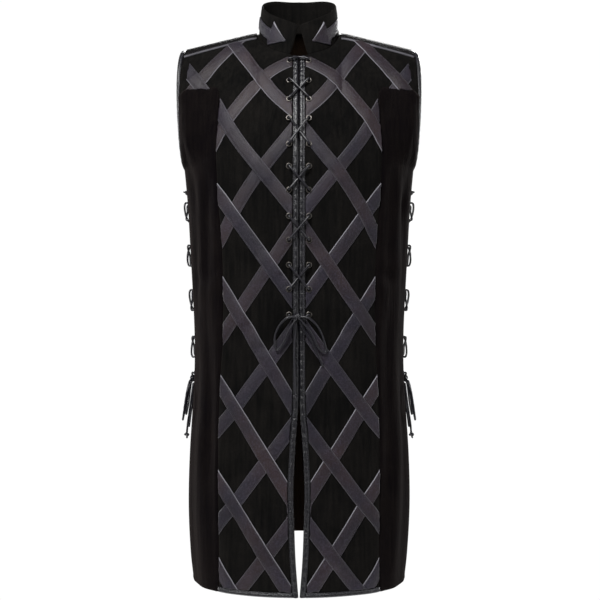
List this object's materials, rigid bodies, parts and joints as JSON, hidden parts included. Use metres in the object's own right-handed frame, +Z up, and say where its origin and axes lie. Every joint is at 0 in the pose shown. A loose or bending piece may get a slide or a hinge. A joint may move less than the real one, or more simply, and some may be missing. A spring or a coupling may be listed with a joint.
{
  "type": "suede vest",
  "caption": "Long sleeveless suede vest with a stand collar, a diagonal lattice of leather strips on the fronts, laced at centre front and sides, open at neck, armholes and hem.",
  "frame": {"origin": "between the wearer's shoulders: on the mid plane, midway between front and back, level with the shoulder seams", "axes": "+Z up, the front faces -Y, and -X is the viewer's left when facing the front"},
  "size_m": [0.455, 0.2802, 1.1121],
  "materials": {
    "suede": "napped suede",
    "plain_suede": "napped suede with a soft sheen",
    "strip": "waxed leather",
    "binding": "smooth leather",
    "lace": "round leather lace"
  },
  "bodies": {
    "root": {"front_left": "suede", "side_front_left": "plain_suede", "front_binding_left": "binding", "armhole_binding_left": "binding", "shoulder_strip_left": "binding", "collar_strap_left": "strip", "strip_left_inward_1": "strip", "strip_left_inward_2_top": "strip", "strip_left_inward_2": "strip", "strip_left_inward_3": "strip", "strip_left_inward_4": "strip", "strip_left_inward_5": "strip", "strip_left_inward_6": "strip", "strip_left_inward_7": "strip", "strip_left_outward_0": "strip", "strip_left_outward_1": "strip", "strip_left_outward_2": "strip", "strip_left_outward_3": "strip", "strip_left_outward_4": "strip", "strip_left_outward_5": "strip", "strip_left_outward_6": "strip", "side_left_bow": "lace", "side_left_tail_1": "lace", "side_left_tail_2": "lace", "side_lace_left": "lace", "front_right": "suede", "side_front_right": "plain_suede", "front_binding_right": "binding", "armhole_binding_right": "binding", "shoulder_strip_right": "binding", "collar_strap_right": "strip", "strip_right_inward_1": "strip", "strip_right_inward_2_top": "strip", "strip_right_inward_2": "strip", "strip_right_inward_3": "strip", "strip_right_inward_4": "strip", "strip_right_inward_5": "strip", "strip_right_inward_6": "strip", "strip_right_inward_7": "strip", "strip_right_outward_0": "strip", "strip_right_outward_1": "strip", "strip_right_outward_2": "strip", "strip_right_outward_3": "strip", "strip_right_outward_4": "strip", "strip_right_outward_5": "strip", "strip_right_outward_6": "strip", "side_right_bow": "lace", "side_right_tail_1": "lace", "side_right_tail_2": "lace", "side_lace_right": "lace", "back": "plain_suede", "collar": "suede", "front_lace": "lace", "front_bow": "lace", "front_tail_1": "lace", "front_tail_2": "lace"}
  },
  "joints": []
}
